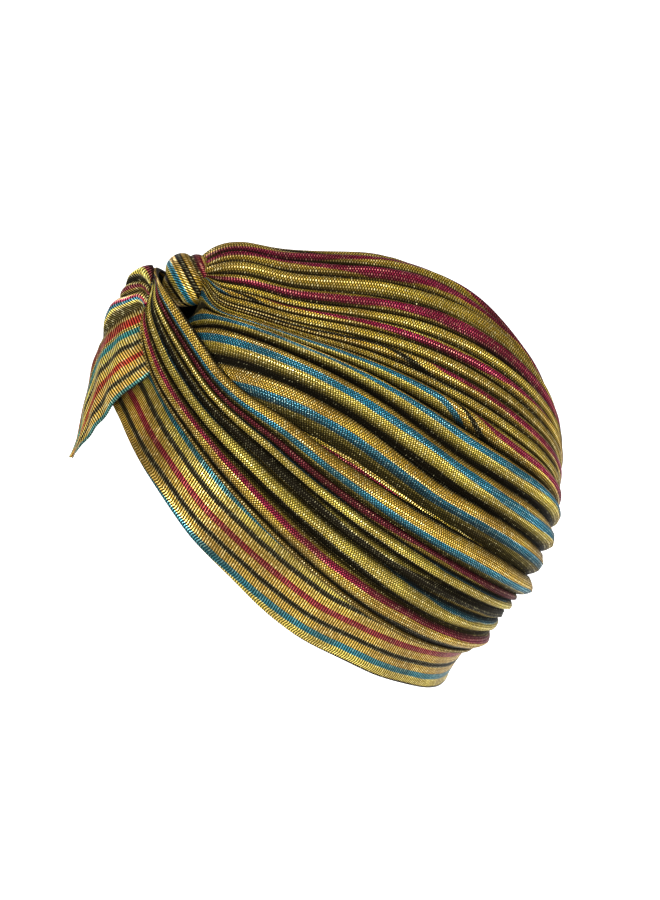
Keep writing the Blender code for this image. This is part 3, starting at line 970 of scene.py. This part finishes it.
def stripe_ramp(tree, place, face):
    """The yarn's colour at a place in one repeat, on one face of the cloth."""
    made = node(tree, "ShaderNodeValToRGB")
    ramp = made.color_ramp
    ramp.interpolation = "LINEAR"
    stops = [(spot, row[2 + face]) for row in STRIPES for spot in row[:2]]
    ramp.elements[0].position, ramp.elements[0].color = stops[0][0], (*stops[0][1], 1.0)
    ramp.elements[1].position, ramp.elements[1].color = stops[-1][0], (*stops[-1][1], 1.0)
    for spot, colour in stops[1:-1]:
        ramp.elements.new(spot).color = (*colour, 1.0)
    feed(tree, made.inputs[0], place)
    return made.outputs[0]


def build_mesh_cloth():
    """Striped metallic mesh: yarn cells in staggered rows over a dark ground, with painted glints, painted
    highlight on the crests and painted shade in the valleys.
    """
    t = socket_group(
        "striped metal mesh",
        (
            ("Vector", "Cloth", None),
            ("Vector", "Weave", None),
            ("Float", "Painted shade", 0.0),
            ("Float", "Gather", 0.0),
            ("Float", "Cells", CELLS),
            ("Float", "Ribbing", 0.35),
            ("Float", "Shade", 0.8),
            ("Float", "Other face", 0.0),
            ("Float", "Painted lighting", 1.0),
        ),
        (("Color", "Colour"), ("Float", "Roughness"), ("Float", "Metallic"), ("Float", "Height")),
    )
    into = node(t, "NodeGroupInput").outputs
    out = node(t, "NodeGroupOutput").inputs

    # the stripes, wandering a little
    length, width = parts_of(t, into["Cloth"])
    wander = scaled(t, noise(t, into["Cloth"], 1.4, 2.0), 0.03, -0.015)
    stripe = maths(t, "ADD", width, wander)
    repeat = maths(t, "FRACT", stripe)
    yarns = blend(t, into["Other face"], stripe_ramp(t, repeat, 0), stripe_ramp(t, repeat, 1))

    # the black yarn comes twice in a repeat, and the blue and the crimson lie half way between
    half = maths(t, "FRACT", product(t, stripe, 2.0))
    from_black = maths(t, "ABSOLUTE", maths(t, "SUBTRACT", half, 0.5))
    black = scaled(t, from_black, -8.5, 1.0, clamp=True)
    coloured = mapped(t, from_black, 0.36, 0.40, 0.0, 0.65)

    # the cells: waves along and across the cloth, multiplied so that rows are staggered
    rows_along = product(t, length, into["Cells"])
    rows_across = product(t, parts_of(t, into["Weave"])[1], into["Cells"], CELL_SHAPE)
    wave_along = maths(t, "SINE", product(t, rows_along, 2 * math.pi))
    wave_across = maths(t, "SINE", product(t, rows_across, 2 * math.pi))
    dots = scaled(t, product(t, wave_along, wave_across), 0.5, 0.5)
    ribs = scaled(t, wave_along, 0.5, 0.5)
    mixed = node(t, "ShaderNodeMix", data_type="FLOAT")
    for place, value in ((0, into["Ribbing"]), (2, dots), (3, ribs)):
        feed(t, mixed.inputs[place], value)
    cell = mapped(t, mixed.outputs[0], 0.51, 0.79)
    core = mapped(t, mixed.outputs[0], 0.72, 1.0, eased=False)

    # each cell has its own random value: its tone varies with it, and the highest get a painted glint
    place = node(t, "ShaderNodeCombineXYZ")
    for socket, rows in zip(place.inputs, (rows_along, rows_across)):
        feed(t, socket, maths(t, "FLOOR", product(t, rows, 2.0)))
    chance = node(t, "ShaderNodeTexWhiteNoise", noise_dimensions="2D")
    feed(t, chance.inputs["Vector"], place.outputs[0])
    chance = chance.outputs["Value"]
    glint = mapped(t, chance, 0.70, 1.0, eased=False)

    # the yarn's colour: warmer and darker in patches, with painted highlight on the crests, painted shade
    # towards the valleys, and the piece's painted lighting
    warm = mapped(t, noise(t, into["Cloth"], 0.9, 3.0), 0.38, 0.66, eased=False)
    yarn = blend(t, product(t, warm, 0.35), yarns, WARM, "MULTIPLY")
    crest = mapped(t, into["Painted shade"], 0.0, 0.42, 1.22, 0.70)
    vary = product(t, scaled(t, chance, 0.60, 0.95), crest, into["Painted lighting"], scaled(t, warm, -0.58, 1.22))
    bright = node(t, "ShaderNodeVectorMath", operation="SCALE")
    feed(t, bright.inputs[0], yarn)
    feed(t, bright.inputs["Scale"], vary)

    # painted highlight: the cores of the cells and their glints are painted pale, less on the blue and
    # crimson yarns than on the gold, and hardly at all on the black
    shine = scaled(t, core, 0.56, product(t, glint, 0.56))
    dull = scaled(t, black, -0.95, maths(t, "SUBTRACT", 1.0, coloured), clamp=True)
    bright = blend(t, product(t, shine, dull, into["Painted lighting"]), bright.outputs[0], PAINTED_GLINT)
    cloth = blend(t, cell, blend(t, 0.93, yarns, GROUND), bright)

    # painted shade darkens the valleys, but a few cells with painted glints still show in them
    seen = scaled(t, product(t, core, glint), -0.75, 1.0)
    painted_shade_amount = maths(t, "MULTIPLY", mapped(t, into["Painted shade"], 0.18, 0.72), into["Shade"], clamp=True)
    painted_shade_amount = product(t, painted_shade_amount, seen)
    feed(t, out["Colour"], blend(t, painted_shade_amount, cloth, PAINTED_SHADE_COLOUR))

    # the metal shows on the cells alone, least on the black yarn and where shade is painted in the valleys
    lit = product(t, cell, scaled(t, black, -0.85, 1.0), scaled(t, painted_shade_amount, -0.8, 1.0))
    feed(t, out["Metallic"], scaled(t, lit, 0.80, 0.10))
    feed(t, out["Roughness"], scaled(t, lit, -0.28, 0.62))
    crinkle = product(t, noise(t, into["Cloth"], 7.0, 3.0), scaled(t, into["Gather"], 1.3, 0.4))
    feed(t, out["Height"], scaled(t, cell, 0.55, crinkle))
    return t


MESH_CLOTH = build_mesh_cloth()


def cloth_material(name, ribbing, shade, painted_lighting, base, other_face=None):
    """Striped metallic mesh cloth, read from the piece's own maps. Ribbing draws the cells out into
    ribs, shade is how strongly shade is painted in the valleys, painted_lighting is how brightly the
    piece's yarn and glints are painted for the light that falls on it, and other_face is how much of
    the other face's colours show, or else the piece says where."""
    made = bpy.data.materials.new(name)
    made.use_nodes = True
    made.diffuse_color = (*base, 1.0)
    t = made.node_tree
    mesh = node(t, "ShaderNodeGroup", node_tree=MESH_CLOTH)
    relief = node(t, "ShaderNodeBump")
    for label, uv_map in (("Cloth", "cloth"), ("Weave", "weave")):
        feed(t, mesh.inputs[label], node(t, "ShaderNodeUVMap", uv_map=uv_map).outputs[0])
    marks = [("Painted shade", "painted_shade"), ("Gather", "gather")]
    settings = [("Ribbing", ribbing), ("Shade", shade), ("Painted lighting", painted_lighting)]
    if other_face is None:
        marks.append(("Other face", "other_face"))
    else:
        settings.append(("Other face", other_face))
    for label, mark in marks:
        feed(t, mesh.inputs[label], node(t, "ShaderNodeAttribute", attribute_name=mark).outputs["Fac"])
    for label, value in settings:
        feed(t, mesh.inputs[label], value)
    for label, value in (("Strength", 0.55), ("Distance", 0.0006), ("Height", mesh.outputs["Height"])):
        feed(t, relief.inputs[label], value)
    shader = t.nodes["Principled BSDF"]
    for label, source in (("Base Color", "Colour"), ("Roughness", "Roughness"), ("Metallic", "Metallic")):
        feed(t, shader.inputs[label], mesh.outputs[source])
    feed(t, shader.inputs["Normal"], relief.outputs[0])
    shader.inputs["Specular IOR Level"].default_value = 0.03
    return made


# The pieces

crown = make_crown(rows=200, seed=11)
left_wrap = make_wrap("left_wrap_cloth", sign=1.0, hug=1.0, rows=200, seed=21)
right_wrap = make_wrap("right_wrap_cloth", sign=-1.0, hug=0.15, rows=200, seed=26)
band = make_band(rows=301, columns=22, seed=31)
tail = make_tail(rows=120, seed=41)
knot = make_knot(seed=51)

# each piece's copy of the cloth has its own painted lighting: darker on the band and the wraps, brighter on
# the tail
crown_cloth = cloth_material("crown cloth", 0.20, 0.93, 0.90, (0.42, 0.33, 0.10), other_face=0.0)
wrap_cloth = cloth_material("wrap cloth", 0.15, 0.93, 0.77, (0.36, 0.28, 0.09), other_face=0.1)
band_cloth = cloth_material("band cloth", 0.84, 0.93, 0.43, (0.48, 0.38, 0.13), other_face=0.40)
tail_cloth = cloth_material("tail cloth", 0.90, 0.88, 1.12, (0.56, 0.45, 0.16))
knot_cloth = cloth_material("knot cloth", 0.60, 0.90, 0.95, (0.40, 0.32, 0.10), other_face=0.2)

for piece, material, cad_node, slot in (
    (crown, crown_cloth, "crown", "crown_cloth"),
    (band, band_cloth, "rim_band", "band_cloth"),
    (left_wrap, wrap_cloth, "left_wrap", "wrap_cloth"),
    (right_wrap, wrap_cloth, "right_wrap", "wrap_cloth"),
    (knot, knot_cloth, "knot", "knot_cloth"),
    (tail, tail_cloth, "tail", "tail_cloth"),
):
    piece.data.materials.append(material)
    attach(piece, "root")
    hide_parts(cad_node)

# Camera, floor and light

# The width that one pixel of the photo shows, and the pixels from its middle to the hat's origin
PIXEL = 0.46e-3
AIM_RIGHT = 33 * PIXEL
AIM_UP = 63 * PIXEL

# The floor lies well below the hat and reaches past every view of it
FLOOR_DROP = 0.42
FLOOR_SIZE = 120.0


def placed_at(name, data, right, up, back, spot):
    """A camera or light in the scene, by the directions of its own axes and its place."""
    holder = bpy.data.objects.new(name, data)
    bpy.context.scene.collection.objects.link(holder)
    matrix = np.eye(4)
    matrix[:3, 0], matrix[:3, 1], matrix[:3, 2], matrix[:3, 3] = right, up, back, spot
    holder.matrix_world = Matrix(matrix.tolist())
    return holder


def camera_at(azimuth, elevation, reach, lens):
    """The camera, azimuth 0 looking along +Y."""
    a = math.radians(azimuth)
    e = math.radians(elevation)
    back = np.array([math.sin(a) * math.cos(e), -math.cos(a) * math.cos(e), math.sin(e)])
    right = np.array([math.cos(a), math.sin(a), 0.0])
    up = np.cross(back, right)
    view = bpy.data.cameras.new("camera")
    view.sensor_fit = "VERTICAL"
    view.sensor_height = 36.0
    view.lens = lens
    spot = right * AIM_RIGHT + up * AIM_UP + back * reach
    bpy.context.scene.camera = placed_at("camera", view, right, up, back, spot)


def soft_light(name, spot, size, power):
    """A round soft light that faces the hat's origin."""
    made = bpy.data.lights.new(name, "AREA")
    made.shape = "DISK"
    made.size = size
    made.energy = power
    away = np.array(spot, dtype=float)
    back = away / np.linalg.norm(away)
    right = np.cross([0.0, 0.0, 1.0], back)
    right /= np.linalg.norm(right)
    placed_at(name, made, right, np.cross(back, right), back, away)


def pale_floor():
    """A plain pale floor, lit a little from within so that it stays even."""
    bpy.ops.object.select_all(action="DESELECT")
    bpy.ops.mesh.primitive_plane_add(size=FLOOR_SIZE, location=(0.0, 0.0, -FLOOR_DROP))
    floor = bpy.context.object
    floor.name = "floor"
    pale = bpy.data.materials.new("pale floor")
    pale.use_nodes = True
    shader = pale.node_tree.nodes["Principled BSDF"]
    shader.inputs["Base Color"].default_value = (0.90, 0.90, 0.90, 1.0)
    shader.inputs["Roughness"].default_value = 0.9
    shader.inputs["Emission Color"].default_value = (1.0, 1.0, 1.0, 1.0)
    shader.inputs["Emission Strength"].default_value = 0.66
    floor.data.materials.append(pale)


def studio(strength):
    """Even white light from all round."""
    room = bpy.data.worlds.new("studio")
    room.use_nodes = True
    room.node_tree.nodes["Background"].inputs["Color"].default_value = (1.0, 1.0, 1.0, 1.0)
    room.node_tree.nodes["Background"].inputs["Strength"].default_value = strength
    bpy.context.scene.world = room
    bpy.context.scene.view_settings.view_transform = "Standard"


camera_at(azimuth=80.0, elevation=25.0, reach=1.38, lens=120.0)
pale_floor()
soft_light("key light", (1.5, -0.8, 0.60), 0.40, 26.0)
soft_light("side light", (1.5, 0.9, 0.3), 0.8, 20.0)
soft_light("top light", (0.2, 0.1, 1.7), 1.2, 23.0)
soft_light("far light", (-1.5, -0.6, 0.7), 0.8, 16.0)
studio(0.34)
